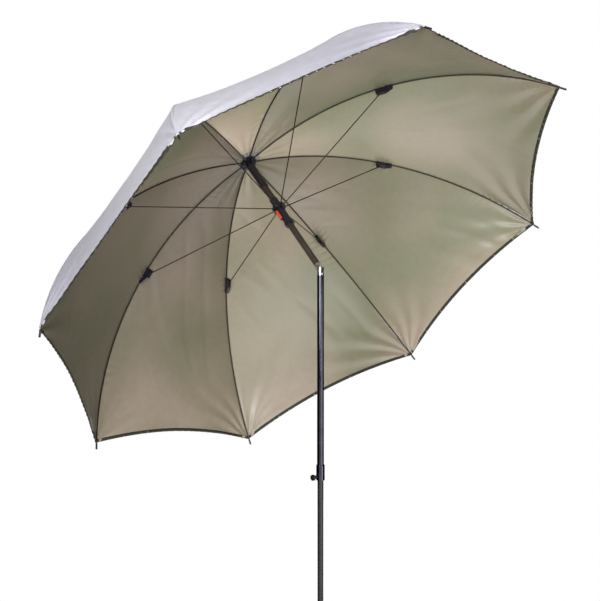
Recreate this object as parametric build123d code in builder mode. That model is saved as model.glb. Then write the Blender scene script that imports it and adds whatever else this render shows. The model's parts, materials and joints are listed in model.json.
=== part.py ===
"""A tilting fishing umbrella on a telescopic pole, open and leaning towards +Y.

The origin is where the pole's axis meets the ground. The pole stands along +Z and the tilt
pin lies along X. Lengths are in millimetres and angles in degrees.
"""

from build123d import *
from math import asin, atan2, cos, degrees, hypot, radians, sin
import os

os.makedirs("parts", exist_ok=True)

# Canopy
canopy_radius = 1060.0  # rib tip to shaft axis
canopy_depth = 599.0  # rib tip below the rib pivots
rib_bend = 66.7  # how far a rib turns from root to tip
rib_count = 8
rib_turn = -56.9  # direction of the first rib about the shaft
fabric_thickness = 0.6
fabric_lift = 1.0  # fabric above the rib's surface
seam_gap = 0.8  # between two gores
gore_sag = 14.0  # of a gore's middle below the straight line between its ribs
hem_scallop = 38.0  # of the hem between two tips
hem_to_tip = 20.0  # rib end beyond the fabric's corner
gore_start_beyond_cap = 5.0

# Ribs and stretchers
rib_radius = 2.5
rib_pivot_beyond_shaft = 14.0
rib_eye_radius = 4.6
rib_eye_thickness = 4.4
tip_radius = 3.6
tip_length = 17.0
tip_beyond = 6.0
tip_edge = 0.8
tip_bore_clearance = 0.1  # a straight bore on a bowed rib
stretcher_radius = 2.0
stretcher_pivot_beyond_shaft = 9.0
stretcher_eye_radius = 4.2
stretcher_eye_thickness = 3.2
ring_wire_radius = 1.0
ring_wire_clearance = 0.25  # a straight eye on a round wire

# Rib clips
clip_at = 0.4446  # share of the rib's length from its root
clip_drop = 16.0  # stretcher pin below the rib's axis
clip_inner_reach = 22.0
clip_outer_reach = 44.0
clip_width = 14.0
clip_below_pin = 8.0
clip_below_rib = 1.0  # top edge below the rib's axis
clip_slot_width = 5.0
clip_pin_radius = 1.5
clip_pin_play = 1.6  # room for the stretcher's open end to follow the clip
clip_eye_radius = 5.0
clip_chamfer = 4.0  # of the inner lower corner
clip_heel = 12.0  # pin to the end of the deep part
clip_nose = 6.0  # height of the outer end above the pin
clip_window_start = 18.0  # past the pin
clip_window_length = 16.0
clip_window_low = 6.0
clip_window_height = 6.0
clip_slot_start = -23.0  # inwards of the pin
clip_slot_length = 30.0
clip_slot_height = 18.0
clip_channel_beyond = 10.0  # length cut past each end for the rib

# Shaft, crown and cap
shaft_radius = 12.0
shaft_wall = 1.2
shaft_reach = 576.0  # rib pivots to tilt pin
crown_beyond_pivots = 5.0
crown_above = 7.0
crown_below = 9.0
crown_skirt_wall = 3.45
crown_skirt_end = 140.0
crown_slot_width = 6.2
crown_slot_inside_pivots = 7.5
crown_notch_width = 5.0
crown_notch_depth = 3.0
cap_beyond_crown = 2.0
cap_height = 13.0
cap_rounding = 10.0
shaft_below_crown_top = 2.0
washer_thickness = 1.2
cap_spigot = 18.0

# Runner
runner_pivot_drop = 255.0  # stretcher pivots below the rib pivots
runner_bore_clearance = 0.15
runner_wall = 3.35
runner_above = 45.0
runner_below = 90.0
runner_ring_beyond_pivots = 5.0
runner_ring_half = 8.0
runner_slot_width = 5.0
runner_slot_inside_pivots = 5.2
runner_foot_wall = 6.35
runner_foot_height = 12.0
trigger_turn = 172.0  # direction about the shaft
trigger_width = 12.0
trigger_length = 38.0
trigger_drop = 34.0  # trigger middle below the stretcher pivots
trigger_thickness = 4.5
trigger_play = 0.3
trigger_standing = 3.0  # beyond the housing
housing_wall = 3.0
housing_corner = 2.5
pocket_floor_wall = 1.05  # between the pocket and the bore
pocket_depth = 5.8
trigger_corner = 2.0
trigger_rounding = 1.5
spring_gap = 0.1
spring_radius = 2.4
spring_wire_radius = 0.3
spring_turns = 3

# Tilt joint
tilt = 46.7  # shaft from upright
knuckle_height = 1400.0
tongue_radius = 11.5
tongue_half = 6.0
cheek_inner = 7.0
cheek_outer = 12.0
cheek_radius = 11.5
knuckle_clearance = 14.0  # tilt pin to both shoulders
tongue_shoulder = 10.0
tongue_plug = 40.0
fork_flange = 6.0
fork_plug = 40.0
tilt_pin_radius = 3.0
tilt_pin_head_radius = 5.0
tilt_pin_head = 1.6
tilt_pin_rounding = 1.0
tilt_washer_radius = 9.5
tilt_washer_thickness = 0.8

# Pole
upper_pole_radius = 12.5
upper_pole_wall = 1.2
lower_pole_radius = 11.0
lower_pole_wall = 1.4
lower_pole_start = 30.0
lower_pole_length = 806.0
fit_clearance = 0.05  # between pieces that are fixed together
slide_clearance = 0.08
collar_radius = 15.5
collar_start = 632.0
collar_height = 56.0
collar_lip = 4.0
collar_lip_clearance = 0.25
collar_edge = 0.8
bush_flange = 4.0
bush_plug = 26.0

# Clamp screw
clamp_above_collar_start = 14.0
boss_radius = 7.0
boss_end = 20.0
clamp_screw_radius = 3.0
clamp_gap = 0.1  # screw tip to lower pole
knob_radius = 11.0
knob_inner = 32.0
knob_thickness = 8.0
knob_face = 2.0  # in front of the screw's end
knob_grooves = 12
knob_groove_radius = 1.6

# Ground spike
spike_radius = 10.0
spike_length = 150.0
spike_point = 50.0
spike_tip_radius = 2.0
spike_plug = 60.0

rib_names = "abcdefgh"
step = 360 / rib_count

# The shaft's direction, and the crown point in the middle of the rib pivots
shaft_dir = Vector(0, sin(radians(tilt)), cos(radians(tilt)))
tilt_point = Vector(0, 0, knuckle_height)
crown_point = tilt_point + shaft_dir * shaft_reach
across = Vector(1, 0, 0)
along = shaft_dir.cross(across)
shaft_axis = Axis(crown_point, shaft_dir)

# Radii that follow the shaft
rib_pivot_radius = shaft_radius + rib_pivot_beyond_shaft
stretcher_pivot_radius = shaft_radius + stretcher_pivot_beyond_shaft
crown_radius = rib_pivot_radius + crown_beyond_pivots
crown_skirt_radius = shaft_radius + fit_clearance + crown_skirt_wall
crown_slot_root = rib_pivot_radius - crown_slot_inside_pivots
cap_radius = crown_radius + cap_beyond_crown
gore_start_radius = cap_radius + gore_start_beyond_cap
runner_bore = shaft_radius + runner_bore_clearance
runner_radius = runner_bore + runner_wall
runner_ring_radius = stretcher_pivot_radius + runner_ring_beyond_pivots
runner_slot_root = stretcher_pivot_radius - runner_slot_inside_pivots
runner_foot_radius = runner_bore + runner_foot_wall
pocket_floor = runner_bore + pocket_floor_wall
housing_outer = pocket_floor + pocket_depth
trigger_outer = housing_outer + trigger_standing
trigger_inner = trigger_outer - trigger_thickness

# A rib's circle, in the rib's own plane with x outwards and y up the shaft
rib_chord = hypot(canopy_radius - rib_pivot_radius, canopy_depth)
rib_arc = rib_chord / (2 * sin(radians(rib_bend / 2)))
rib_start = degrees(atan2(canopy_depth, canopy_radius - rib_pivot_radius)) - rib_bend / 2
rib_centre = (
    rib_pivot_radius - rib_arc * sin(radians(rib_start)),
    -rib_arc * cos(radians(rib_start)),
)
rib_end_droop = rib_start + rib_bend
clip_droop = rib_start + clip_at * rib_bend
clip_pivot = (
    rib_centre[0] + (rib_arc - clip_drop) * sin(radians(clip_droop)),
    rib_centre[1] + (rib_arc - clip_drop) * cos(radians(clip_droop)),
)


def canopy_plane(height=0.0):
    """The plane square to the shaft, at a height above the rib pivots."""
    return Plane(origin=crown_point + shaft_dir * height, x_dir=across, z_dir=shaft_dir)


def outwards(turn):
    """The direction square to the shaft at an angle about it."""
    return across * cos(radians(turn)) + along * sin(radians(turn))


def rib_plane(turn, aside=0.0):
    """The plane of a rib: x outwards, y up the shaft, moved aside towards the next rib."""
    out = outwards(turn)
    return Plane(
        origin=crown_point + shaft_dir.cross(out) * aside,
        x_dir=out,
        z_dir=out.cross(shaft_dir),
    )


def on_rib(droop, lift=0.0):
    """A point of the rib plane on the rib's circle, lifted outwards from it."""
    reach = rib_arc + lift
    return (
        rib_centre[0] + reach * sin(radians(droop)),
        rib_centre[1] + reach * cos(radians(droop)),
    )


def write(part, name):
    """Labels a finished piece and writes its file."""
    part.label = name
    export_step(part, f"parts/{name}.step")


# Ground spike
with BuildPart() as ground_spike:
    with BuildSketch(Plane.XZ):
        with BuildLine():
            Polyline(
                (0, -spike_length - spike_point),
                (spike_tip_radius, -spike_length - spike_point),
                (spike_radius, -spike_length),
                (spike_radius, 0),
                (lower_pole_radius, 0),
                (lower_pole_radius, lower_pole_start),
                (lower_pole_radius - lower_pole_wall - fit_clearance, lower_pole_start),
                (lower_pole_radius - lower_pole_wall - fit_clearance, lower_pole_start + spike_plug),
                (0, lower_pole_start + spike_plug),
                close=True,
            )
        make_face()
    revolve(axis=Axis.Z)
write(ground_spike.part, "ground_spike")

# Lower pole and the bush that turns in its top and slides in the upper pole
lower_pole_top = lower_pole_start + lower_pole_length
with BuildPart() as lower_pole:
    with BuildSketch(Plane.XY.offset(lower_pole_start)):
        Circle(lower_pole_radius)
        Circle(lower_pole_radius - lower_pole_wall, mode=Mode.SUBTRACT)
    extrude(amount=lower_pole_length)
write(lower_pole.part, "lower_pole")

upper_pole_bore = upper_pole_radius - upper_pole_wall
with BuildPart() as guide_bush:
    with BuildSketch(Plane.XY.offset(lower_pole_top)):
        Circle(upper_pole_bore - slide_clearance)
    extrude(amount=bush_flange)
    with BuildSketch(Plane.XY.offset(lower_pole_top)):
        Circle(lower_pole_radius - lower_pole_wall - slide_clearance)
    extrude(amount=-bush_plug)
write(guide_bush.part, "guide_bush")

# Upper pole with its clamp collar
collar_top = collar_start + collar_height
upper_pole_start = collar_start + collar_lip
upper_pole_top = knuckle_height - knuckle_clearance - fork_flange
clamp_height = collar_start + clamp_above_collar_start
clamp_hole = clamp_screw_radius + slide_clearance
clamp_plane = Plane(origin=(0, 0, clamp_height), x_dir=(0, 1, 0), z_dir=(-1, 0, 0))
with BuildPart() as upper_pole:
    with BuildSketch(Plane.XY.offset(upper_pole_start)):
        Circle(upper_pole_radius)
        Circle(upper_pole_bore, mode=Mode.SUBTRACT)
    extrude(amount=upper_pole_top - upper_pole_start)
    with BuildSketch(clamp_plane):
        Circle(clamp_hole)
    extrude(amount=collar_radius, mode=Mode.SUBTRACT)
write(upper_pole.part, "upper_pole")

with BuildPart() as clamp_collar:
    with BuildSketch(Plane.XY.offset(collar_start)):
        Circle(collar_radius)
    extrude(amount=collar_height)
    fillet(clamp_collar.edges().filter_by(GeomType.CIRCLE), radius=collar_edge)
    with BuildSketch(clamp_plane):
        Circle(boss_radius)
    extrude(amount=boss_end)
    with BuildSketch(Plane.XY.offset(upper_pole_start)):
        Circle(upper_pole_radius + fit_clearance)
    extrude(amount=collar_height, mode=Mode.SUBTRACT)
    with BuildSketch(Plane.XY.offset(collar_start)):
        Circle(lower_pole_radius + collar_lip_clearance)
    extrude(amount=collar_lip, mode=Mode.SUBTRACT)
    with BuildSketch(clamp_plane):
        Circle(clamp_hole)
    extrude(amount=boss_end, mode=Mode.SUBTRACT)
write(clamp_collar.part, "clamp_collar")

# Clamp screw and its knob
with BuildPart() as clamp_screw:
    with BuildSketch(clamp_plane.offset(lower_pole_radius + clamp_gap)):
        Circle(clamp_screw_radius)
    extrude(amount=knob_inner + knob_thickness - knob_face - lower_pole_radius - clamp_gap)
write(clamp_screw.part, "clamp_screw")

with BuildPart() as clamp_knob:
    with BuildSketch(clamp_plane.offset(knob_inner)):
        Circle(knob_radius)
        with PolarLocations(knob_radius, knob_grooves):
            Circle(knob_groove_radius, mode=Mode.SUBTRACT)
    extrude(amount=knob_thickness)
    with BuildSketch(clamp_plane.offset(knob_inner)):
        Circle(clamp_hole)
    extrude(amount=knob_thickness - knob_face + fit_clearance, mode=Mode.SUBTRACT)
write(clamp_knob.part, "clamp_knob")

# Tilt joint: fork in the upper pole, tongue in the shaft
pin_plane = Plane(origin=tilt_point, x_dir=(0, 1, 0), z_dir=(1, 0, 0))
with BuildPart() as tilt_fork:
    with BuildSketch(Plane.XY.offset(upper_pole_top)):
        Circle(upper_pole_radius)
    extrude(amount=fork_flange)
    with BuildSketch(Plane.XY.offset(upper_pole_top)):
        Circle(upper_pole_bore - fit_clearance)
    extrude(amount=-fork_plug)
    with BuildSketch(pin_plane.offset(cheek_inner)):
        Circle(cheek_radius)
        with Locations((0, -knuckle_clearance / 2)):
            Rectangle(2 * cheek_radius, knuckle_clearance)
        Circle(tilt_pin_radius + fit_clearance, mode=Mode.SUBTRACT)
    extrude(amount=cheek_outer - cheek_inner)
    with BuildSketch(pin_plane.offset(-cheek_outer)):
        Circle(cheek_radius)
        with Locations((0, -knuckle_clearance / 2)):
            Rectangle(2 * cheek_radius, knuckle_clearance)
        Circle(tilt_pin_radius + fit_clearance, mode=Mode.SUBTRACT)
    extrude(amount=cheek_outer - cheek_inner)
    with BuildSketch(Plane.XY.offset(upper_pole_top)):
        Circle(2 * upper_pole_radius)
        Circle(upper_pole_radius, mode=Mode.SUBTRACT)
    extrude(amount=fork_flange + knuckle_clearance + cheek_radius, mode=Mode.SUBTRACT)
write(tilt_fork.part, "tilt_fork")

shaft_bore = shaft_radius - shaft_wall
shaft_end = knuckle_clearance + tongue_shoulder
tongue_plane = Plane(origin=tilt_point, x_dir=along, z_dir=across)
with BuildPart() as tilt_tongue:
    with BuildSketch(tongue_plane):
        Circle(tongue_radius)
        with Locations((0, shaft_end / 2)):
            Rectangle(2 * tongue_radius, shaft_end)
    extrude(amount=tongue_half, both=True)
    with BuildSketch(canopy_plane(knuckle_clearance - shaft_reach)):
        Circle(shaft_radius)
    extrude(amount=tongue_shoulder)
    with BuildSketch(canopy_plane(shaft_end - shaft_reach)):
        Circle(shaft_bore - fit_clearance)
    extrude(amount=tongue_plug)
    with BuildSketch(tongue_plane):
        Circle(tilt_pin_radius + slide_clearance)
    extrude(amount=tongue_half, both=True, mode=Mode.SUBTRACT)
write(tilt_tongue.part, "tilt_tongue")

with BuildPart() as tilt_pin:
    with BuildSketch(pin_plane):
        Circle(tilt_pin_radius)
    extrude(amount=cheek_outer, both=True)
    with BuildSketch(pin_plane.offset(cheek_outer)):
        Circle(tilt_pin_head_radius)
    extrude(amount=tilt_pin_head)
    with BuildSketch(pin_plane.offset(-cheek_outer)):
        Circle(tilt_pin_head_radius)
    extrude(amount=-tilt_pin_head)
    fillet(tilt_pin.faces().sort_by(Axis.X)[-1].edges(), radius=tilt_pin_rounding)
    fillet(tilt_pin.faces().sort_by(Axis.X)[0].edges(), radius=tilt_pin_rounding)
write(tilt_pin.part, "tilt_pin")

with BuildPart() as tilt_washers:
    with BuildSketch(pin_plane.offset(cheek_inner)):
        Circle(tilt_washer_radius)
        Circle(tilt_pin_radius + slide_clearance, mode=Mode.SUBTRACT)
    extrude(amount=-tilt_washer_thickness)
    with BuildSketch(pin_plane.offset(-cheek_inner)):
        Circle(tilt_washer_radius)
        Circle(tilt_pin_radius + slide_clearance, mode=Mode.SUBTRACT)
    extrude(amount=tilt_washer_thickness)
write(tilt_washers.part, "tilt_washers")

# Shaft, crown, crown wire, fabric washer and top cap
shaft_top = crown_above - shaft_below_crown_top
with BuildPart() as shaft:
    with BuildSketch(canopy_plane(shaft_end - shaft_reach)):
        Circle(shaft_radius)
        Circle(shaft_bore, mode=Mode.SUBTRACT)
    extrude(amount=shaft_reach - shaft_end + shaft_top)
write(shaft.part, "shaft")

with BuildPart() as crown:
    with BuildSketch(canopy_plane(-crown_below)):
        Circle(crown_radius)
    extrude(amount=crown_below + crown_above)
    with BuildSketch(canopy_plane(-crown_below)):
        Circle(crown_skirt_radius)
    extrude(amount=crown_below - crown_skirt_end)
    with BuildSketch(canopy_plane(-crown_below)):
        with PolarLocations(crown_slot_root, rib_count, start_angle=rib_turn):
            Rectangle(crown_radius, crown_slot_width, align=(Align.MIN, Align.CENTER))
        with PolarLocations(crown_radius - crown_notch_depth, rib_count, rib_turn + step / 2):
            Rectangle(crown_radius, crown_notch_width, align=(Align.MIN, Align.CENTER))
    extrude(amount=crown_below + crown_above, mode=Mode.SUBTRACT)
    with BuildSketch(canopy_plane(-crown_skirt_end)):
        Circle(shaft_radius + fit_clearance)
    extrude(amount=crown_skirt_end + crown_above, mode=Mode.SUBTRACT)
    with BuildSketch(rib_plane(rib_turn)):
        with Locations((rib_pivot_radius, 0)):
            Circle(ring_wire_radius + fit_clearance)
    revolve(axis=shaft_axis, mode=Mode.SUBTRACT)
write(crown.part, "crown")

with BuildPart() as crown_wire:
    with BuildSketch(rib_plane(rib_turn)):
        with Locations((rib_pivot_radius, 0)):
            Circle(ring_wire_radius)
    revolve(axis=shaft_axis)
write(crown_wire.part, "crown_wire")

with BuildPart() as fabric_washer:
    with BuildSketch(canopy_plane(crown_above)):
        Circle(crown_radius)
        Circle(shaft_radius + fit_clearance, mode=Mode.SUBTRACT)
    extrude(amount=washer_thickness)
write(fabric_washer.part, "fabric_washer")

with BuildPart() as top_cap:
    with BuildSketch(canopy_plane(crown_above + washer_thickness)):
        Circle(cap_radius)
    extrude(amount=cap_height)
    fillet(top_cap.faces().sort_by(shaft_axis)[-1].edges(), radius=cap_rounding)
    with BuildSketch(canopy_plane(crown_above + washer_thickness)):
        Circle(shaft_bore - fit_clearance)
    extrude(amount=-cap_spigot)
write(top_cap.part, "top_cap")

# Runner with its ring wire, trigger and trigger spring
runner_point = crown_point - shaft_dir * runner_pivot_drop
trigger_out = outwards(trigger_turn)
trigger_point = runner_point - shaft_dir * trigger_drop
trigger_plane = Plane(origin=trigger_point, x_dir=shaft_dir, z_dir=trigger_out)
pocket_length = trigger_length + 2 * trigger_play
pocket_width = trigger_width + 2 * trigger_play
housing_length = pocket_length + 2 * housing_wall
housing_width = pocket_width + 2 * housing_wall
with BuildPart() as runner:
    with BuildSketch(canopy_plane(-runner_pivot_drop - runner_below)):
        Circle(runner_radius)
    extrude(amount=runner_above + runner_below)
    with BuildSketch(canopy_plane(-runner_pivot_drop - runner_ring_half)):
        Circle(runner_ring_radius)
    extrude(amount=2 * runner_ring_half)
    with BuildSketch(canopy_plane(-runner_pivot_drop - runner_below)):
        Circle(runner_foot_radius)
    extrude(amount=runner_foot_height)
    with BuildSketch(trigger_plane):
        RectangleRounded(housing_length, housing_width, housing_corner)
    extrude(amount=housing_outer)
    with BuildSketch(canopy_plane(-runner_pivot_drop - runner_ring_half)):
        with PolarLocations(runner_slot_root, rib_count, start_angle=rib_turn):
            Rectangle(runner_ring_radius, runner_slot_width, align=(Align.MIN, Align.CENTER))
    extrude(amount=2 * runner_ring_half, mode=Mode.SUBTRACT)
    with BuildSketch(canopy_plane(-runner_pivot_drop - runner_below)):
        Circle(runner_bore)
    extrude(amount=runner_above + runner_below, mode=Mode.SUBTRACT)
    with BuildSketch(trigger_plane.offset(pocket_floor)):
        Rectangle(pocket_length, pocket_width)
    extrude(amount=housing_outer, mode=Mode.SUBTRACT)
    with BuildSketch(rib_plane(rib_turn)):
        with Locations((stretcher_pivot_radius, -runner_pivot_drop)):
            Circle(ring_wire_radius + fit_clearance)
    revolve(axis=shaft_axis, mode=Mode.SUBTRACT)
write(runner.part, "runner")

with BuildPart() as runner_wire:
    with BuildSketch(rib_plane(rib_turn)):
        with Locations((stretcher_pivot_radius, -runner_pivot_drop)):
            Circle(ring_wire_radius)
    revolve(axis=shaft_axis)
write(runner_wire.part, "runner_wire")

with BuildPart() as trigger:
    with BuildSketch(trigger_plane.offset(trigger_inner)):
        RectangleRounded(trigger_length, trigger_width, trigger_corner)
    extrude(amount=trigger_outer - trigger_inner)
    trigger_face = trigger.faces().sort_by(Axis(trigger_point, trigger_out))[-1]
    fillet(trigger_face.edges(), radius=trigger_rounding)
write(trigger.part, "trigger")

spring_length = trigger_inner - pocket_floor - 2 * spring_gap - 2 * spring_wire_radius
spring_base = trigger_plane.offset(pocket_floor + spring_gap + spring_wire_radius)
with BuildPart() as trigger_spring:
    with BuildLine():
        coil = Helix(
            pitch=spring_length / spring_turns,
            height=spring_length,
            radius=spring_radius,
            center=spring_base.origin,
            direction=trigger_out,
        )
    with BuildSketch(Plane(origin=coil @ 0, z_dir=coil % 0)):
        Circle(spring_wire_radius)
    sweep()
write(trigger_spring.part, "trigger_spring")

# Ribs with their clips and tips
clip_top = clip_drop - clip_below_rib
clip_sweep = degrees((clip_outer_reach + clip_channel_beyond) / rib_arc)
for index, name in enumerate(rib_names):
    turn = rib_turn + index * step
    plane = rib_plane(turn)

    with BuildPart() as rib:
        with BuildLine(plane):
            bow = CenterArc(rib_centre, rib_arc, 90 - rib_start, -rib_bend)
        with BuildSketch(Plane(origin=bow @ 0, z_dir=bow % 0)):
            Circle(rib_radius)
        sweep()
        with BuildSketch(plane):
            with Locations((rib_pivot_radius, 0)):
                Circle(rib_eye_radius)
        extrude(amount=rib_eye_thickness / 2, both=True)
        with BuildSketch(plane):
            with Locations((rib_pivot_radius, 0)):
                Circle(ring_wire_radius + ring_wire_clearance)
        extrude(amount=rib_eye_radius, both=True, mode=Mode.SUBTRACT)
    write(rib.part, f"rib_{name}")

    tip_droop = radians(rib_end_droop - degrees(tip_length / 2 / rib_arc))
    tip_axis = plane.x_dir * cos(tip_droop) - plane.y_dir * sin(tip_droop)
    tip_start = on_rib(rib_end_droop - degrees(tip_length / rib_arc))
    tip_plane = Plane(origin=plane.from_local_coords(Vector(*tip_start, 0)), z_dir=tip_axis)
    with BuildPart() as tip:
        with BuildSketch(tip_plane):
            Circle(tip_radius)
        extrude(amount=tip_length + tip_beyond)
        fillet(tip.edges().filter_by(GeomType.CIRCLE), radius=tip_edge)
        with BuildSketch(tip_plane):
            Circle(rib_radius + tip_bore_clearance)
        extrude(amount=tip_length + tip_bore_clearance, mode=Mode.SUBTRACT)
    write(tip.part, f"tip_{name}")

    clip_plane = Plane(
        origin=plane.from_local_coords(Vector(*clip_pivot, 0)),
        x_dir=plane.x_dir * cos(radians(clip_droop)) - plane.y_dir * sin(radians(clip_droop)),
        z_dir=plane.z_dir,
    )
    with BuildPart() as clip:
        with BuildSketch(clip_plane):
            with BuildLine():
                Polyline(
                    (-clip_inner_reach, clip_top),
                    (-clip_inner_reach, clip_chamfer - clip_below_pin),
                    (clip_chamfer - clip_inner_reach, -clip_below_pin),
                    (clip_heel, -clip_below_pin),
                    (clip_outer_reach, clip_nose),
                    (clip_outer_reach, clip_top),
                    close=True,
                )
            make_face()
            with Locations((clip_window_start, clip_window_low)):
                Rectangle(clip_window_length, clip_window_height, align=Align.MIN, mode=Mode.SUBTRACT)
            Circle(clip_pin_radius + fit_clearance, mode=Mode.SUBTRACT)
        extrude(amount=clip_width / 2, both=True)
        with BuildSketch(clip_plane):
            with Locations((clip_slot_start, 0)):
                Rectangle(clip_slot_length, clip_slot_height, align=(Align.MIN, Align.CENTER))
        extrude(amount=clip_slot_width / 2, both=True, mode=Mode.SUBTRACT)
        with BuildLine(plane):
            clip_bow = CenterArc(rib_centre, rib_arc, 90 - clip_droop + clip_sweep, -2 * clip_sweep)
        with BuildSketch(Plane(origin=clip_bow @ 0, z_dir=clip_bow % 0)):
            Circle(rib_radius + fit_clearance)
        sweep(mode=Mode.SUBTRACT)
        with BuildSketch(clip_plane):
            Circle(clip_pin_radius)
        extrude(amount=clip_width / 2, both=True)
    write(clip.part, f"clip_{name}")

    # Straight wire from the runner's ring to the clip's pin
    foot = Vector(stretcher_pivot_radius, -runner_pivot_drop, 0)
    head = Vector(*clip_pivot, 0)
    rise = degrees(atan2(head.Y - foot.Y, head.X - foot.X))
    span = (head - foot).length
    wire_plane = Plane(
        origin=plane.from_local_coords(foot),
        x_dir=plane.x_dir * cos(radians(rise)) + plane.y_dir * sin(radians(rise)),
        z_dir=plane.z_dir,
    )
    with BuildPart() as stretcher:
        with BuildSketch(Plane(origin=wire_plane.origin, z_dir=wire_plane.x_dir)):
            Circle(stretcher_radius)
        extrude(amount=span)
        with BuildSketch(wire_plane):
            Circle(stretcher_eye_radius)
            with Locations((span, 0)):
                Circle(clip_eye_radius)
        extrude(amount=stretcher_eye_thickness / 2, both=True)
        with BuildSketch(wire_plane):
            Circle(ring_wire_radius + ring_wire_clearance)
            with Locations((span, 0)):
                Circle(clip_pin_radius + clip_pin_play)
        extrude(amount=stretcher_radius, both=True, mode=Mode.SUBTRACT)
    write(stretcher.part, f"stretcher_{name}")

# Gores: each is lofted from its two ribs through its sagging middle
start_droop = degrees(asin((gore_start_radius - rib_centre[0]) / rib_arc))
end_droop = rib_end_droop - degrees(hem_to_tip / rib_arc)
hem_droop = end_droop - degrees(hem_scallop / rib_arc)
gore_lift = rib_radius + fabric_lift
middle_share = cos(radians(step / 2))


def on_middle(droop, sag, thickness):
    """A point on a gore's middle line, in its middle plane."""
    flat_x, y = on_rib(droop, gore_lift)
    slope = atan2(sin(radians(droop)), cos(radians(droop)) * middle_share)
    return flat_x * middle_share + (thickness - sag) * sin(slope), y + (thickness - sag) * cos(slope)


edge_droops = (start_droop, (start_droop + end_droop) / 2, end_droop)
inner_edge = [on_rib(droop, gore_lift) for droop in edge_droops]
outer_edge = [on_rib(droop, gore_lift + fabric_thickness) for droop in edge_droops]
middle_sags = [(start_droop, 0), ((start_droop + hem_droop) / 2, gore_sag), (hem_droop, gore_sag / 2)]
inner_middle = [on_middle(droop, sag, 0) for droop, sag in middle_sags]
outer_middle = [on_middle(droop, sag, fabric_thickness) for droop, sag in middle_sags]

for index, name in enumerate(rib_names):
    turn = rib_turn + index * step
    with BuildPart() as gore:
        with BuildSketch(rib_plane(turn, seam_gap / 2)):
            with BuildLine():
                ThreePointArc(*inner_edge)
                ThreePointArc(*outer_edge)
                Line(inner_edge[0], outer_edge[0])
                Line(inner_edge[-1], outer_edge[-1])
            make_face()
        with BuildSketch(rib_plane(turn + step / 2)):
            with BuildLine():
                ThreePointArc(*inner_middle)
                ThreePointArc(*outer_middle)
                Line(inner_middle[0], outer_middle[0])
                Line(inner_middle[-1], outer_middle[-1])
            make_face()
        with BuildSketch(rib_plane(turn + step, -seam_gap / 2)):
            with BuildLine():
                ThreePointArc(*inner_edge)
                ThreePointArc(*outer_edge)
                Line(inner_edge[0], outer_edge[0])
                Line(inner_edge[-1], outer_edge[-1])
            make_face()
        loft()
    write(gore.part, f"gore_{name}")
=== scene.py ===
"""Looks of a tilting fishing umbrella: canopy cloth, tapes, finishes, light and camera."""

import json
from math import asin, atan2, cos, exp, hypot, pi, radians, sin, tan

import bmesh
import bpy
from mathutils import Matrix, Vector, noise


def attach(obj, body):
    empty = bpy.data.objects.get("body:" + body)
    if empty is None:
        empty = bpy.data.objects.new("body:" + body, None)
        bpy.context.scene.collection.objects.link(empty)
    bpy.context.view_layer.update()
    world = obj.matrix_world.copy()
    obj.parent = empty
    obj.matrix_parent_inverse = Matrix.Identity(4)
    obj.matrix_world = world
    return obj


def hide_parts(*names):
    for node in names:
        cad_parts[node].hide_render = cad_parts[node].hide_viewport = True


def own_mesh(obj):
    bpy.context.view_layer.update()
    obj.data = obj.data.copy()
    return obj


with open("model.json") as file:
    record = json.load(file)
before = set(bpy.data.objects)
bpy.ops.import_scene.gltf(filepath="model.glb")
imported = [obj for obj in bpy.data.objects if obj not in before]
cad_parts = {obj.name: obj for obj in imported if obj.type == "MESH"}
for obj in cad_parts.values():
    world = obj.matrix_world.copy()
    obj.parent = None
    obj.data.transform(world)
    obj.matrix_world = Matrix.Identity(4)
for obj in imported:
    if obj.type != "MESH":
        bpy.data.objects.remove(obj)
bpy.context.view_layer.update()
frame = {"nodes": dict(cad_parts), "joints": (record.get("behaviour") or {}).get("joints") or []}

# Canopy sizes in metres and degrees, as the frame was built
CANOPY_RADIUS = 1.060
CANOPY_DEPTH = 0.599
RIB_BEND = 66.7
RIB_PIVOT_RADIUS = 0.026
CLIP_AT = 0.4446
CLOTH_LIFT = 0.0035  # inner face of the cloth above the rib's axis
CLOTH_THICKNESS = 0.0006
GORE_START = 0.033
GORE_SAG = 0.014
HEM_SCALLOP = 0.038
HEM_TO_TIP = 0.020
SEAM_GAP = 0.0004  # cloth edge to the seam's plane

# Tapes and crown patch in metres
HEM_TAPE = 0.011
HEM_TAPE_THICKNESS = 0.0022
HEM_FOLD = -0.11  # share of the tape beyond the cloth
HEM_PROFILE = ((1, -1), (0.3, -1), (HEM_FOLD, -0.6), (HEM_FOLD, 0.6), (0.3, 1), (1, 1))
HEM_STEPS = 96
SEAM_TAPE = 0.006  # half width
SEAM_TAPE_THICKNESS = 0.0009
SEAM_PROFILE = ((-1, 0.2), (-0.75, 1), (0, 1.3), (0.75, 1), (1, 0.2), (0, 0.5))
SEAM_STEPS = 90
PATCH_RADIUS = 0.055
PATCH_LIFT = 0.0027
PATCH_THICKNESS = 0.0004
PATCH_COLUMNS, PATCH_ROWS = 12, 6

# Sizes of surface patterns in metres
THREAD_SPACING = 0.0016  # a real taffeta's is about 0.1 mm, too fine to show
THREAD_RELIEF = 0.0004
TONE_AND_SHEEN_PATCH = 0.476
CRUSH_MARK = 0.0263
GLOSS_PATCH = 0.0714

# Folds in metres: how high they stand, how far they reach from what holds the cloth, and how far
# apart they are
PUCKER_HEIGHT, PUCKER_REACH, PUCKER_SPACING = 0.0060, 0.026, 0.031
TIP_PULL_HEIGHT, TIP_PULL_REACH, TIP_PULL_CLEAR = 0.0060, 0.17, 0.03
CLIP_PULL_HEIGHT, CLIP_PULL_REACH, CLIP_PULL_SPACING = 0.0034, 0.034, 0.024
CLIP_PULL_LENGTH = 0.05  # along the rib, each way from the clip
GATHER_HEIGHT, GATHER_REACH = 0.0030, 0.12
HEM_PUCKER_HEIGHT, HEM_PUCKER_REACH, HEM_PUCKER_SPACING = 0.0014, 0.020, 0.029
SLACK_HEIGHT, CREASE_HEIGHT = 0.0070, 0.0065
PINNED_WITHIN = 0.005  # of a seam, where no fold stands
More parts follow.
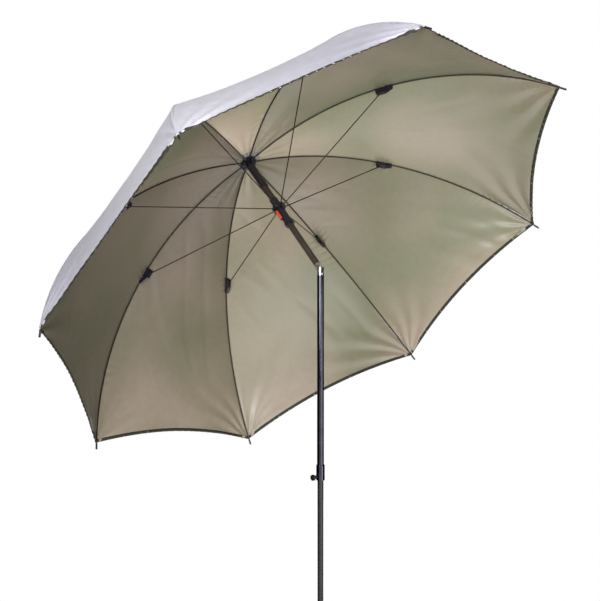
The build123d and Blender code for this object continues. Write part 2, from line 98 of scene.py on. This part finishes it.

# Painted shade and painted light: each gore's cloth colour is scaled by a brightness factor at the
# crown and one at the hem, which stands in for how the light falls on that gore.
PAINTED_GORE_SHADES = {
    "a": (1.60, 0.82), "b": (0.84, 0.96), "c": (1.24, 0.86), "d": (0.58, 0.90),
    "e": (0.74, 0.30), "f": (0.66, 0.80), "g": (1.95, 1.25), "h": (1.15, 0.70),
}

# Camera: lens in millimetres, shifts as shares of the picture, place in metres, turns in degrees
CAMERA_LENS = 66.7
CAMERA_SHIFT = (-0.028, -0.0145)
CAMERA_FROM_TILT_JOINT = (-2.652, -2.988, 0.198)
CAMERA_DOWN = 4
CAMERA_TURN = -41.4

NAMES = "abcdefgh"
HALF_STEP = pi / len(NAMES)
ACROSS, DOWN = 72, 180  # faces of a gore across and down its length

joints = {j["name"]: j for j in frame["joints"]}
shaft_dir = -Vector(joints["runner_slide"]["axis"]).normalized()
rib_pivots = [Vector(joints[f"rib_{n}_fold"]["pos_m"]) for n in NAMES]
rib_tangents = [Vector(joints[f"rib_{n}_fold"]["axis"]).normalized() for n in NAMES]
crown = sum(rib_pivots, Vector()) / len(NAMES)
tilt_point = Vector(joints["tilt"]["pos_m"])

# The circle that a rib follows, in its plane with x outwards and y up the shaft
chord = hypot(CANOPY_RADIUS - RIB_PIVOT_RADIUS, CANOPY_DEPTH)
rib_arc = chord / (2 * sin(radians(RIB_BEND / 2)))
rib_start = atan2(CANOPY_DEPTH, CANOPY_RADIUS - RIB_PIVOT_RADIUS) - radians(RIB_BEND / 2)
rib_end = rib_start + radians(RIB_BEND)
rib_centre = (RIB_PIVOT_RADIUS - rib_arc * sin(rib_start), -rib_arc * cos(rib_start))
cloth_start = asin((GORE_START - rib_centre[0]) / rib_arc)
cloth_end = rib_end - HEM_TO_TIP / rib_arc
clip_droop = rib_start + CLIP_AT * radians(RIB_BEND)
tape_start = asin((PATCH_RADIUS - rib_centre[0]) / rib_arc)


# ---------------------------------------------------------------- shapes


def on_rib(droop, lift=0.0):
    """Distance from the shaft and height along it of a point on or above a rib."""
    reach = rib_arc + lift
    return rib_centre[0] + reach * sin(droop), rib_centre[1] + reach * cos(droop)


def canopy_point(index, turn, out, up):
    """A point of the row frame from a turn past rib index, a distance out and a height up."""
    tangent = rib_tangents[index]
    outward = tangent.cross(shaft_dir)
    return crown + (outward * cos(turn) + tangent * sin(turn)) * out + shaft_dir * up


def gore_point(index, u, droop, lift=CLOTH_LIFT):
    """A point of a gore's tensioned cloth, and its normal. u runs from -1 at the gore's first rib
    to 1 at its second."""
    out, up = on_rib(droop, lift)
    first = canopy_point(index, 0, out, up)
    second = canopy_point(index, 2 * HALF_STEP, out, up)
    across = (second - first).normalized()
    first, second = first + across * SEAM_GAP, second - across * SEAM_GAP
    middle_dir = (canopy_point(index, HALF_STEP, 1, 0) - crown).normalized()
    slope = atan2(sin(droop), cos(droop) * cos(HALF_STEP))
    normal = middle_dir * sin(slope) + shaft_dir * cos(slope)
    share = (droop - cloth_start) / (cloth_end - cloth_start)
    depth = GORE_SAG * (4 * share * (1 - share) + 0.5 * share**4)
    return first.lerp(second, (u + 1) / 2) - normal * depth * (1 - u * u), normal


def folds(index, u, droop):
    """How far the cloth stands proud of its tensioned shape, from puckers, pulls and slack."""
    length = rib_arc * (droop - cloth_start)
    whole = rib_arc * (cloth_end - cloth_start)
    half_width = max(0.01, on_rib(droop)[0] * sin(HALF_STEP))
    edge = (1 - abs(u)) * half_width
    side = 1 if u > 0 else -1
    seed = Vector((index * 7.31, side * 3.17, 0.0))
    wander = noise.noise(Vector((length * 5, edge * 4, index * 3.7 + side)))
    pinned = 1 - exp(-edge / PINNED_WITHIN)

    # Short ridges square to the seams, in clusters
    cluster = max(0, noise.noise(Vector((length * 4.3, 0, 0)) + seed) - 0.02)
    pucker = PUCKER_HEIGHT * cluster * exp(-edge / PUCKER_REACH)
    pucker *= sin(2 * pi * length / PUCKER_SPACING + 7 * wander)

    # Pulls that fan out of the rib tips
    corner = hypot(edge, whole - length)
    corner_turn = atan2(edge, whole - length)
    pull = TIP_PULL_HEIGHT * exp(-corner / TIP_PULL_REACH) * (1 - exp(-corner / TIP_PULL_CLEAR))
    pull *= sin(13 * corner_turn + 2.5 * wander + index)

    # Ridges beside the rib clips
    beyond_clip = length - rib_arc * (clip_droop - cloth_start)
    away = (edge / CLIP_PULL_REACH) ** 2 + (beyond_clip / CLIP_PULL_LENGTH) ** 2
    clip_pull = CLIP_PULL_HEIGHT * exp(-away)
    clip_pull *= sin(2 * pi * beyond_clip / CLIP_PULL_SPACING + 2 * wander + side)

    # Gathers round the crown, puckers along the hem
    gather = GATHER_HEIGHT * exp(-length / GATHER_REACH) * cos(u * 9 + index)
    hem = whole - HEM_SCALLOP * (1 - u * u) - length
    hem_pucker = HEM_PUCKER_HEIGHT * exp(-hem / HEM_PUCKER_REACH)
    hem_pucker *= sin(2 * pi * u * half_width / HEM_PUCKER_SPACING + 3 * wander)

    # Slack and scattered creases in the middle of the gore
    across_m = u * half_width
    slack = SLACK_HEIGHT * noise.noise(Vector((across_m * 2.1, length * 1.7, index * 5.3)))
    line = noise.noise(Vector((across_m * 9 + length * 3, length * 2.2, index * 2.9 + 40)))
    patch = max(0, noise.noise(seed + Vector((length * 2, across_m * 2, 9))) + 0.05)
    crease = CREASE_HEIGHT * patch * (1 - min(1, abs(line) * 4))
    loose = (1 - u * u) * (slack + crease)
    return pinned * (pucker + pull + clip_pull + gather + hem_pucker) + loose


def hem_droop(u):
    """Where the scalloped hem lies across a gore."""
    return cloth_end - HEM_SCALLOP * (1 - u * u) / rib_arc


def cloth_point(index, u, v, lift=CLOTH_LIFT, raised=0.0):
    """A point of the finished cloth: v runs from 0 at the crown to 1 at the hem."""
    droop = cloth_start + v * (hem_droop(u) - cloth_start)
    point, normal = gore_point(index, u, droop, lift)
    return point + normal * (folds(index, u, droop) + raised)


def crowded(x):
    """Moves a gore's columns outwards, so that they stand closer near its seams."""
    return x * (1.35 - 0.35 * x * x)


def finish_mesh(name, mesh_builder, materials, body):
    """Makes the piece of a bmesh, with its materials and body."""
    mesh = bpy.data.meshes.new(name)
    mesh_builder.to_mesh(mesh)
    mesh_builder.free()
    for material in materials:
        mesh.materials.append(material)
    piece = bpy.data.objects.new(name, mesh)
    bpy.context.scene.collection.objects.link(piece)
    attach(piece, body)
    return piece


def smooth(bm):
    """Shades every face of a bmesh smooth."""
    for face in bm.faces:
        face.smooth = True


def gore_outward(index):
    """A direction out of the middle of a gore."""
    return canopy_point(index, HALF_STEP, 1, 0) - crown + shaft_dir


def sheet_mesh(columns, rows, place, flat, thickness, outward, painted_shades=(1, 1)):
    """A thin closed sheet from a grid, thickened to its outward side. place gives its points, flat
    its cut pattern in metres for the UV map, and the last argument the brightness factors at the
    crown and the hem that paint shade and light onto its cloth."""
    bm = bmesh.new()
    bmesh.ops.create_grid(bm, x_segments=columns, y_segments=rows, size=1)
    cut = bm.loops.layers.uv.new("cut")
    # Painted shade and painted light: a brightness factor on each point, from the crown to the hem
    shade = bm.verts.layers.float.new("shade")
    for vert in bm.verts:
        vert[shade] = painted_shades[0] + (painted_shades[1] - painted_shades[0]) * (vert.co.y + 1) / 2
    for face in bm.faces:
        for loop in face.loops:
            loop[cut].uv = flat(loop.vert.co.x, loop.vert.co.y)
    for vert in bm.verts:
        vert.co = place(vert.co.x, vert.co.y)
    bm.faces.ensure_lookup_table()
    bm.normal_update()
    if bm.faces[len(bm.faces) // 2].normal.dot(outward) < 0:
        bmesh.ops.reverse_faces(bm, faces=bm.faces)
        bm.normal_update()
    geometry = bm.verts[:] + bm.edges[:] + bm.faces[:]
    bmesh.ops.solidify(bm, geom=geometry, thickness=-thickness)
    bmesh.ops.recalc_face_normals(bm, faces=bm.faces)
    bm.normal_update()
    return bm


def gore(index, name, inside, outside):
    """One cloth gore between rib index and the next, with its cut pattern as its UV map."""

    def place(x, y):
        return cloth_point(index, crowded(x), (y + 1) / 2)

    def flat(x, y):
        droop = cloth_start + (y + 1) / 2 * (cloth_end - cloth_start)
        return (crowded(x) * on_rib(droop)[0] * sin(HALF_STEP), rib_arc * (droop - cloth_start))

    outward = gore_outward(index)
    bm = sheet_mesh(ACROSS, DOWN, place, flat, CLOTH_THICKNESS, outward, PAINTED_GORE_SHADES[name])
    for face in bm.faces:
        face.material_index = 1 if face.normal.dot(outward) > 0 else 0
    smooth(bm)
    body = f"gore_{name}"
    piece = finish_mesh(f"canopy_gore_{name}", bm, (inside, outside), body)
    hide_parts(f"gore_{name}")
    return piece


def ribbon(name, rings, material, body):
    """A closed strip through rings of points, with its UV map in metres along and across it."""
    bm = bmesh.new()
    cut = bm.loops.layers.uv.new("cut")
    loops = [[bm.verts.new(point) for point in ring] for ring in rings]
    count = len(rings[0])
    place = {}
    along = 0.0
    for i, ring in enumerate(rings):
        along += (ring[0] - rings[max(i - 1, 0)][0]).length
        for k, point in enumerate(ring):
            place[loops[i][k]] = (along, (point - ring[0]).length)
    for one, two in zip(loops, loops[1:]):
        for k in range(count):
            bm.faces.new((one[k], one[k - 1], two[k - 1], two[k]))
    bm.faces.new(loops[0])
    bm.faces.new(loops[-1])
    bmesh.ops.recalc_face_normals(bm, faces=bm.faces)
    for face in bm.faces:
        for loop in face.loops:
            loop[cut].uv = place[loop.vert]
    smooth(bm)
    return finish_mesh(name, bm, (material,), body)


def hem_binding(index, name, material):
    """The folded tape over the hem of a gore."""
    rings = []
    for i in range(HEM_STEPS + 1):
        u = crowded(-1 + 2 * i / HEM_STEPS)
        point = cloth_point(index, u, 1.0)
        before = cloth_point(index, max(u - 0.01, -1), 1.0)
        ahead = cloth_point(index, min(u + 0.01, 1), 1.0) - before
        up = (cloth_point(index, u, 0.99) - point).normalized()
        normal = ahead.cross(up).normalized()
        half = HEM_TAPE_THICKNESS / 2
        centre = point + normal * CLOTH_THICKNESS / 2
        rings.append([centre + up * a * HEM_TAPE + normal * b * half for a, b in HEM_PROFILE])
    return ribbon(f"hem_binding_{name}", rings, material, f"gore_{name}")


def seam_tape(index, name, material):
    """The tape over the seam that lies on a rib, outside the cloth."""
    rings = []
    for i in range(SEAM_STEPS + 1):
        droop = tape_start + (cloth_end - tape_start) * i / SEAM_STEPS
        out, up = on_rib(droop, CLOTH_LIFT + CLOTH_THICKNESS)
        point = canopy_point(index, 0, out, up)
        outward = rib_tangents[index].cross(shaft_dir)
        normal = outward * sin(droop) + shaft_dir * cos(droop)
        ring = []
        for a, b in SEAM_PROFILE:
            drop = abs(a) * SEAM_TAPE * tan(HALF_STEP) * sin(droop)
            lift = b * SEAM_TAPE_THICKNESS - drop
            ring.append(point + rib_tangents[index] * a * SEAM_TAPE + normal * lift)
        rings.append(ring)
    return ribbon(f"seam_tape_{name}", rings, material, f"rib_{name}")


# ---------------------------------------------------------------- materials


def colour(text):
    """Linear colour of an sRGB hex value."""
    parts = [int(text[i : i + 2], 16) / 255 for i in (0, 2, 4)]
    return [p / 12.92 if p <= 0.04045 else ((p + 0.055) / 1.055) ** 2.4 for p in parts] + [1.0]


def node(tree, kind, links=None, **settings):
    """Adds a node. Settings are its properties, and links its sockets' values or what they take."""
    made = tree.nodes.new("ShaderNode" + kind)
    for name, value in settings.items():
        setattr(made, name, value)
    for socket, value in (links or {}).items():
        if isinstance(value, bpy.types.NodeSocket):
            tree.links.new(value, made.inputs[socket])
        else:
            made.inputs[socket].default_value = value
    return made


def new_material(name, **sockets):
    """A material and its tree and shader, with the shader's constant sockets set."""
    material = bpy.data.materials.new(name)
    material.use_nodes = True
    tree = material.node_tree
    shader = tree.nodes["Principled BSDF"]
    for socket, value in sockets.items():
        shader.inputs[socket.replace("_", " ")].default_value = value
    return material, tree, shader


def ramp(tree, factor, stops):
    """Colours at places along a factor, through a colour ramp."""
    made = node(tree, "ValToRGB", {"Fac": factor})
    elements = made.color_ramp.elements
    while len(elements) < len(stops):
        elements.new(0.5)
    for element, (place, value) in zip(elements, stops):
        element.position = place
        element.color = value
    return made.outputs["Color"]


def surface(name, tones, roughness, spread, metallic, grain, bump=0.02, **sockets):
    """Paint, plating, rod or moulded plastic: two tones through fine grain, uneven gloss and a
    small bump. grain is the size of the surface's pattern in metres."""
    material, tree, shader = new_material(name, Metallic=metallic, **sockets)
    place = node(tree, "TexCoord").outputs["Object"]
    per_metre = [1 / grain] * 3
    scaled = node(tree, "Mapping", {"Vector": place, "Scale": per_metre}).outputs["Vector"]
    fine = node(tree, "TexNoise", {"Vector": scaled, "Scale": 1.0, "Detail": 3.0}).outputs["Fac"]
    patches = {"Vector": place, "Scale": 1 / GLOSS_PATCH, "Detail": 4.0}
    broad = node(tree, "TexNoise", patches).outputs["Fac"]
    mixed = node(tree, "Math", {0: fine, 1: broad}, operation="MULTIPLY").outputs[0]
    tone = ramp(tree, mixed, [(0.12, colour(tones[0])), (0.42, colour(tones[1]))])
    tree.links.new(tone, shader.inputs["Base Color"])
    uneven_gloss(tree, shader, broad, roughness - spread, roughness + spread)
    relief = node(tree, "Bump", {"Height": fine, "Strength": 1.0, "Distance": bump * grain})
    tree.links.new(relief.outputs["Normal"], shader.inputs["Normal"])
    return material


def uneven_gloss(tree, shader, factor, low, high):
    """Varies the shader's roughness from low to high with a factor."""
    gloss = node(tree, "MapRange", {
        "Value": factor, "From Min": 0.3, "From Max": 0.7, "To Min": low, "To Max": high,
    })
    tree.links.new(gloss.outputs["Result"], shader.inputs["Roughness"])


def threads(tree, cut, direction):
    """Threads side by side across the cut pattern."""
    scale = 1 / (2 * pi * THREAD_SPACING)
    wave = node(tree, "TexWave", {"Vector": cut, "Scale": scale, "Distortion": 0.0},
                bands_direction=direction)
    return wave.outputs["Fac"]


def multiplied(tree, first, second):
    """Two colours multiplied."""
    links = {"Fac": 1.0, "Color1": first, "Color2": second}
    return node(tree, "MixRGB", links, blend_type="MULTIPLY").outputs[0]


def cloth_material(name, tones, crush_weight, roughness, painted_shading=False, **sockets):
    """Coated nylon taffeta: a plain weave with broad patches of tone, which on the inner face are
    partly painted sheen, fine crush marks, painted shade between its threads and a soft sheen. Its
    UV map is the cut pattern in metres. Where asked, each gore's colour is also scaled by its
    painted shade and painted light."""
    material, tree, shader = new_material(name, **sockets)
    cut = node(tree, "UVMap", uv_map="cut").outputs["UV"]
    place = node(tree, "TexCoord").outputs["Object"]
    warp = threads(tree, cut, "X")
    weft = threads(tree, cut, "Y")
    weave = node(tree, "Math", {0: warp, 1: weft}, operation="MULTIPLY").outputs[0]
    patches = {"Vector": place, "Scale": 1 / TONE_AND_SHEEN_PATCH, "Detail": 1.5, "Roughness": 0.4}
    broad = node(tree, "TexNoise", patches).outputs["Fac"]
    marks = {"Vector": place, "Scale": 1 / CRUSH_MARK, "Detail": 6.0, "Roughness": 0.6}
    crush = node(tree, "TexNoise", marks).outputs["Fac"]
    dark, middle, light = [colour(tone) for tone in tones]
    # The broad patches are partly random tone and partly painted sheen: on the inner face the light
    # pinkish-taupe end stands in for reflections of the surroundings
    tone = ramp(tree, broad, [(0.36, dark), (0.50, middle), (0.64, light)])
    worn = ramp(tree, crush, [(0.35, [0.93, 0.93, 0.93, 1]), (0.65, [1, 1, 1, 1])])
    # Painted shade: a little darker where the weave is low, between the threads
    painted_thread_shade = ramp(tree, weave, [(0.0, [0.98, 0.98, 0.98, 1]), (0.5, [1, 1, 1, 1])])
    base = multiplied(tree, multiplied(tree, tone, worn), painted_thread_shade)
    # Painted shade and painted light: the gore's colour is scaled by its shade attribute
    if painted_shading:
        shade = node(tree, "Attribute", attribute_name="shade").outputs["Fac"]
        base = node(tree, "VectorMath", {0: base, "Scale": shade}, operation="SCALE").outputs[0]
    tree.links.new(base, shader.inputs["Base Color"])
    uneven_gloss(tree, shader, crush, roughness - 0.06, roughness + 0.08)
    rough_weave = node(tree, "Math", {0: crush, 1: crush_weight}, operation="MULTIPLY").outputs[0]
    height = node(tree, "Math", {0: weave, 1: rough_weave}, operation="ADD").outputs[0]
    relief = node(tree, "Bump", {"Height": height, "Strength": 0.15, "Distance": THREAD_RELIEF})
    tree.links.new(relief.outputs["Normal"], shader.inputs["Normal"])
    return material


def make_materials():
    """Every finish of the umbrella by name."""
    return {
        # Polyurethane-coated nylon taffeta: the coated inner face has a satin gloss. Its light
        # pinkish-taupe tone is painted sheen, and each gore carries painted shade and painted light
        "inside": cloth_material(
            "taffeta_olive_inside", ("86856A", "9A907A", "AA9B8A"), 4.0, 0.40, painted_shading=True,
            Coat_Weight=0.2, Coat_Roughness=0.27, Specular_IOR_Level=0.55),
        # The outer face is silver-coated, smoother and brighter
        "outside": cloth_material(
            "taffeta_silver_outside", ("B5B3C0", "C2C0CC", "CCCAD4"), 3.0, 0.38,
            Sheen_Weight=0.2, Specular_IOR_Level=0.5, Metallic=0.25),
        # The patch by the crown is of the silver-coated cloth, worn and darker
        "patch": cloth_material(
            "taffeta_patch", ("6E6A78", "85818F", "9A96A4"), 3.0, 0.4,
            Sheen_Weight=0.2, Specular_IOR_Level=0.5),
        # Grosgrain binding, dull and dark
        "binding": surface("grosgrain_binding", ("24241A", "35352A"), 0.75, 0.08, 0.0, 0.0016, 0.3),
        # Pultruded fibreglass rod with a dark gel skin, satin
        "rod": surface("fibreglass_rod", ("231E14", "3A3222"), 0.38, 0.08, 0.0, 0.0012, 0.06),
        # Enamelled spring-steel wire, with a thin gloss
        "wire": surface("enamelled_wire", ("2A261C", "45402F"), 0.32, 0.06, 0.6, 0.0010, 0.05),
        # Bright drawn steel wire, with a clear metal glint
        "bright_wire": surface(
            "bright_steel_wire", ("8A8A86", "B4B4B0"), 0.28, 0.06, 1.0, 0.0008, 0.05),
        # Moulded nylon with a glossy skin and a violet cast
        "nylon": surface(
            "moulded_black_nylon", ("17141D", "2B2634"), 0.30, 0.07, 0.0, 0.0018, 0.06),
        # Satin stoved enamel on drawn steel tube
        "shaft": surface(
            "brown_black_enamel", ("3C3430", "544A45"), 0.34, 0.06, 0.35, 0.0015, 0.05),
        # Black-nickel plated tube, polished to a dark mirror
        "upper_pole": surface(
            "black_nickel_plate", ("34343C", "4A4A54"), 0.13, 0.03, 1.0, 0.0012, 0.01),
        # Satin enamel with a green cast
        "lower_pole": surface(
            "green_black_enamel", ("181D1A", "2B312E"), 0.30, 0.05, 0.4, 0.0014, 0.04),
        # Polished die-cast zinc alloy, the brightest metal here
        "alloy": surface(
            "polished_zinc_alloy", ("C9C9C7", "E6E6E4"), 0.20, 0.05, 1.0, 0.0020, 0.04),
        # Nickel-plated steel, warmer and duller than the alloy
        "nickel": surface("nickel_plate", ("8E8A80", "B5B1A6"), 0.26, 0.06, 1.0, 0.0014, 0.04),
        # Moulded acetal with a bright pigment
        "trigger": surface(
            "moulded_orange_acetal", ("E6501F", "F7692F"), 0.30, 0.05, 0.0, 0.0016, 0.05),
        # Natural nylon, milky and matt
        "bush": surface("natural_nylon", ("C9C4B4", "DDD9CC"), 0.45, 0.06, 0.0, 0.0020, 0.05),
        # Painted mild steel, rubbed lighter in scattered patches
        "spike": surface("rubbed_black_steel", ("1C1C1C", "3B3A38"), 0.42, 0.08, 0.7, 0.0022, 0.10),
    }


def paint_cad(finishes):
    """Gives every CAD node that shows its finish."""
    by_node = {
        "ground_spike": "spike", "lower_pole": "lower_pole", "guide_bush": "bush",
        "upper_pole": "upper_pole", "clamp_collar": "upper_pole", "clamp_screw": "nickel",
        "clamp_knob": "nickel", "tilt_fork": "alloy", "tilt_tongue": "alloy", "tilt_pin": "alloy",
        "tilt_washers": "nylon", "shaft": "shaft", "crown": "nylon", "crown_wire": "bright_wire",
        "fabric_washer": "outside", "top_cap": "nylon", "runner": "nylon",
        "runner_wire": "bright_wire", "trigger": "trigger", "trigger_spring": "bright_wire",
    }
    for letter in NAMES:
        by_node[f"rib_{letter}"] = "rod"
        by_node[f"clip_{letter}"] = "nylon"
        by_node[f"tip_{letter}"] = "nylon"
        by_node[f"stretcher_{letter}"] = "wire"
        by_node[f"gore_{letter}"] = "inside"
    for name, cad in frame["nodes"].items():
        cad.data.materials.clear()
        cad.data.materials.append(finishes[by_node[name]])


# ---------------------------------------------------------------- canopy


def crown_patch(index, name, material):
    """A gore's share of the round patch between the ribs and the cloth."""

    def place(x, y):
        droop = cloth_start + (y + 1) / 2 * (tape_start - cloth_start)
        return gore_point(index, x, droop, PATCH_LIFT)[0]

    def flat(x, y):
        return (x * PATCH_RADIUS / 2, y * PATCH_RADIUS / 2)

    outward = gore_outward(index)
    bm = sheet_mesh(PATCH_COLUMNS, PATCH_ROWS, place, flat, PATCH_THICKNESS, outward)
    smooth(bm)
    return finish_mesh(f"crown_patch_{name}", bm, (material,), f"gore_{name}")


def make_canopy(finishes):
    """The eight gores with their seam tape, hem binding and crown patch."""
    for index, name in enumerate(NAMES):
        piece = gore(index, name, finishes["inside"], finishes["outside"])
        hem = hem_binding(index, name, finishes["binding"])
        seam_tape(index, name, finishes["outside"])
        patch = crown_patch(index, name, finishes["patch"])

        for soft in (piece, hem, patch):
            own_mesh(soft)


def area_light(name, place, target, size, power, tint="FFFFFF"):
    """A soft rectangular light aimed at a point, which the camera doesn't see."""
    data = bpy.data.lights.new(name, "AREA")
    data.shape = "RECTANGLE"
    data.size, data.size_y = size
    data.energy = power
    data.color = colour(tint)[:3]
    lamp = bpy.data.objects.new(name, data)
    bpy.context.scene.collection.objects.link(lamp)
    lamp.location = place
    lamp.rotation_euler = (Vector(target) - Vector(place)).to_track_quat("-Z", "Y").to_euler()
    lamp.visible_camera = False


def make_light():
    """White surroundings that light the umbrella only a little, with broad soft lights beside the
    camera, overhead and near the ground, and a narrow one that the polished pole reflects."""
    world = bpy.data.worlds.new("white_surround")
    bpy.context.scene.world = world
    world.use_nodes = True
    tree = world.node_tree
    seen = node(tree, "LightPath").outputs["Is Camera Ray"]
    tint = node(tree, "MixRGB", {"Fac": seen, "Color1": colour("303234"), "Color2": (1, 1, 1, 1)})
    tree.links.new(tint.outputs[0], tree.nodes["Background"].inputs["Color"])
    middle = crown - shaft_dir * CANOPY_DEPTH / 2
    area_light("front_light", middle + Vector((-3.7, -2.1, 0.4)), middle, (2.0, 2.6), 190)
    area_light("low_front_light", middle + Vector((0.3, -3.4, -1.4)), middle, (2.0, 2.0), 56)
    area_light("ground_light", middle + Vector((-1.1, -1.1, -1.5)), middle, (1.6, 1.6), 11)
    area_light("under_light", crown + Vector((0.6, 0.0, -1.7)), crown, (1.0, 1.0), 8)
    area_light("top_light", middle + Vector((-0.6, -1.6, 3.6)), middle, (3.0, 3.0), 135)
    area_light("strip_light", tilt_point + Vector((-2.5, -3.1, -0.1)), tilt_point, (0.35, 1.7), 22)


def make_camera():
    """The camera at the viewing angle, looking a little down."""
    data = bpy.data.cameras.new("camera")
    data.sensor_width = 36
    data.lens = CAMERA_LENS
    data.shift_x, data.shift_y = CAMERA_SHIFT
    camera = bpy.data.objects.new("camera", data)
    bpy.context.scene.collection.objects.link(camera)
    camera.location = tilt_point + Vector(CAMERA_FROM_TILT_JOINT)
    camera.rotation_euler = (radians(90 - CAMERA_DOWN), 0, radians(CAMERA_TURN))
    bpy.context.scene.camera = camera


finishes = make_materials()
paint_cad(finishes)
make_canopy(finishes)
make_light()
make_camera()
bpy.context.scene.view_settings.view_transform = "Standard"
